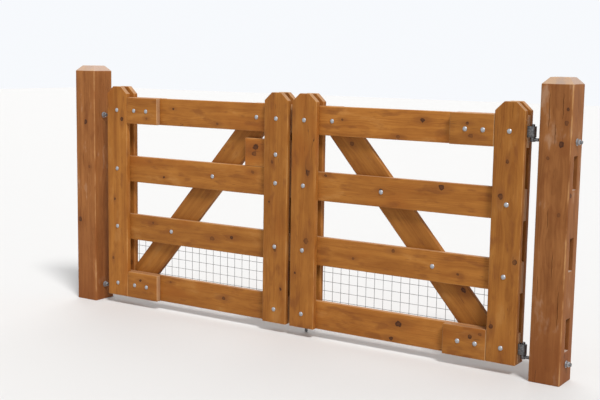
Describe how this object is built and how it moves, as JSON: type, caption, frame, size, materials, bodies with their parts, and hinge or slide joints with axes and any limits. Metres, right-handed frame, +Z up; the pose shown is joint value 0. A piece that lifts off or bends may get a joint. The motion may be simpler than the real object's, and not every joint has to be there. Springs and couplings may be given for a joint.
{
  "type": "double-leaf timber gate with posts",
  "caption": "Pair of low timber garden gates that meet in the middle, hung on two square posts, with sloping braces, wire mesh and a drop bolt.",
  "frame": {"origin": "centre of the left post's foot, seen from the road side, at ground level", "axes": "+X along the fence to the right post, +Y into the garden, +Z up"},
  "size_m": [3.052, 0.15, 1.39],
  "materials": {
    "post_timber": "oiled, weathered",
    "leaf_timber": "oiled, sawn",
    "hinge_steel": "galvanised, weathered",
    "galvanised_wire": "galvanised, dull"
  },
  "bodies": {
    "posts": {"left_post": "post_timber", "right_post": "post_timber", "left_top_gudgeon": "hinge_steel", "left_bottom_gudgeon": "hinge_steel", "right_top_gudgeon": "hinge_steel", "right_bottom_gudgeon": "hinge_steel"},
    "left_leaf": {"left_hinge_stile_front": "leaf_timber", "left_hinge_stile_back": "leaf_timber", "left_meeting_stile_front": "leaf_timber", "left_meeting_stile_back": "leaf_timber", "left_top_rail": "leaf_timber", "left_upper_rail": "leaf_timber", "left_lower_rail": "leaf_timber", "left_bottom_rail": "leaf_timber", "left_brace": "leaf_timber", "left_top_cleat_front": "leaf_timber", "left_top_cleat_back": "leaf_timber", "left_bottom_cleat_front": "leaf_timber", "left_top_hinge_strap": "hinge_steel", "left_bottom_hinge_strap": "hinge_steel", "left_mesh": "galvanised_wire", "left_latch_block": "leaf_timber"},
    "right_leaf": {"right_hinge_stile_front": "leaf_timber", "right_hinge_stile_back": "leaf_timber", "right_meeting_stile_front": "leaf_timber", "right_meeting_stile_back": "leaf_timber", "right_top_rail": "leaf_timber", "right_upper_rail": "leaf_timber", "right_lower_rail": "leaf_timber", "right_bottom_rail": "leaf_timber", "right_brace": "leaf_timber", "right_top_cleat_front": "leaf_timber", "right_top_cleat_back": "leaf_timber", "right_bottom_cleat_front": "leaf_timber", "right_top_hinge_strap": "hinge_steel", "right_bottom_hinge_strap": "hinge_steel", "right_mesh": "galvanised_wire", "lower_rod_guide": "hinge_steel", "upper_rod_guide": "hinge_steel"},
    "drop_bolt": {"drop_rod": "hinge_steel"}
  },
  "joints": [
    {"name": "left_leaf_hinge", "type": "hinge", "parent": "posts", "child": "left_leaf", "pos_m": [0.13, 0, 0.632], "axis": [0, 0, 1], "range_deg": [-90, 90]},
    {"name": "right_leaf_hinge", "type": "hinge", "parent": "posts", "child": "right_leaf", "pos_m": [2.72, 0, 0.632], "axis": [0, 0, -1], "range_deg": [-90, 90]},
    {"name": "drop_bolt_lift", "type": "slide", "parent": "right_leaf", "child": "drop_bolt", "axis": [0, 0, 1], "range_m": [0, 0.12]}
  ]
}
